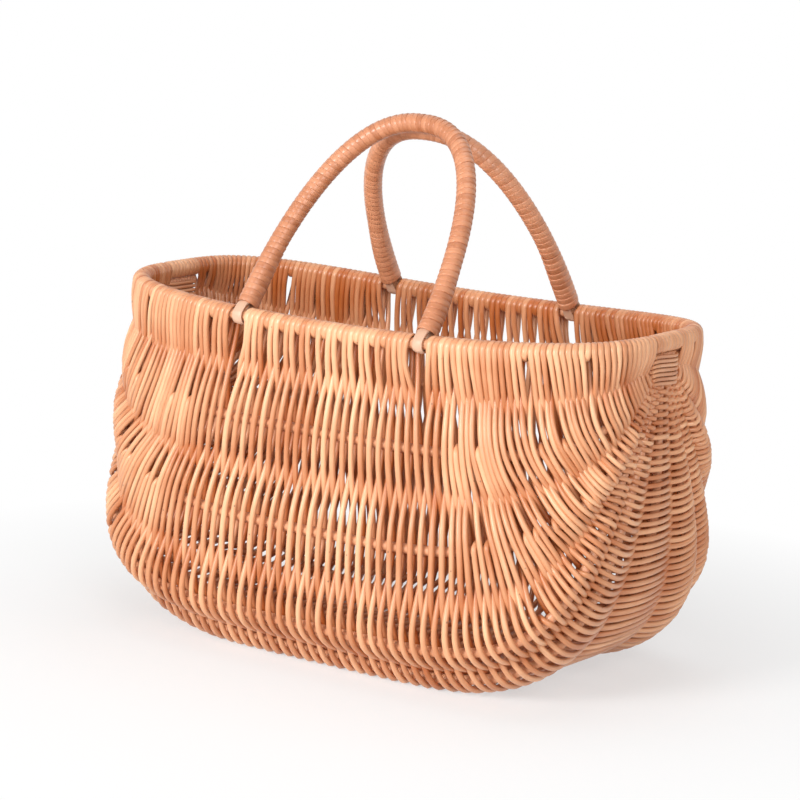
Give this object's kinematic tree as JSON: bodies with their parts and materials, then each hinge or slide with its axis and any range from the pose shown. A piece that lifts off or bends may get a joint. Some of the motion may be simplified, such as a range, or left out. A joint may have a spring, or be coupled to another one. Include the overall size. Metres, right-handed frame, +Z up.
{
  "type": "wicker shopping basket",
  "caption": "Wicker shopping basket of woven willow on a rib frame, with two lapped handles that swing on the rim rod",
  "frame": {"origin": "on the ground under the middle of the basket", "axes": "X along the length, Y across from the front (-Y) to the back (+Y), Z up"},
  "size_m": [0.4218, 0.224, 0.364],
  "materials": {
    "rim_willow": "satin",
    "rib_willow": "satin",
    "weaving_willow": "satin",
    "wrap_willow": "satin",
    "lashing_willow": "satin",
    "peeled_willow": "satin",
    "skein_willow": "satin"
  },
  "bodies": {
    "basket": {"rim_hoop": "rim_willow", "front_upper_rib": "rib_willow", "front_lower_rib": "rib_willow", "front_corner_rib": "rib_willow", "front_floor_rib": "rib_willow", "centre_floor_rib": "rib_willow", "back_floor_rib": "rib_willow", "back_corner_rib": "rib_willow", "back_lower_rib": "rib_willow", "back_upper_rib": "rib_willow", "weaving_strand_01": "weaving_willow", "weaving_strand_02": "weaving_willow", "weaving_strand_03": "weaving_willow", "weaving_strand_04": "weaving_willow", "weaving_strand_05": "weaving_willow", "weaving_strand_06": "weaving_willow", "weaving_strand_07": "weaving_willow", "weaving_strand_08": "weaving_willow", "weaving_strand_09": "weaving_willow", "weaving_strand_10": "weaving_willow", "weaving_strand_11": "weaving_willow", "weaving_strand_12": "weaving_willow", "weaving_strand_13": "weaving_willow", "right_front_rim_wrap": "wrap_willow", "right_back_rim_wrap": "wrap_willow", "left_front_rim_wrap": "wrap_willow", "left_back_rim_wrap": "wrap_willow", "right_lashing": "lashing_willow", "left_lashing": "lashing_willow"},
    "front_handle": {"front_handle_core": "peeled_willow", "front_handle_lapping": "skein_willow"},
    "back_handle": {"back_handle_core": "peeled_willow", "back_handle_lapping": "skein_willow"}
  },
  "joints": [
    {"name": "front_handle_swing", "type": "hinge", "parent": "basket", "child": "front_handle", "pos_m": [0.0018, -0.0905, 0.22876], "axis": [1, 0.001, 0.0007], "range_deg": [0, 175]},
    {"name": "back_handle_swing", "type": "hinge", "parent": "basket", "child": "back_handle", "pos_m": [-0.0022, 0.09043, 0.22881], "axis": [-1, -0.0013, 0.0009], "range_deg": [0, 175]}
  ]
}
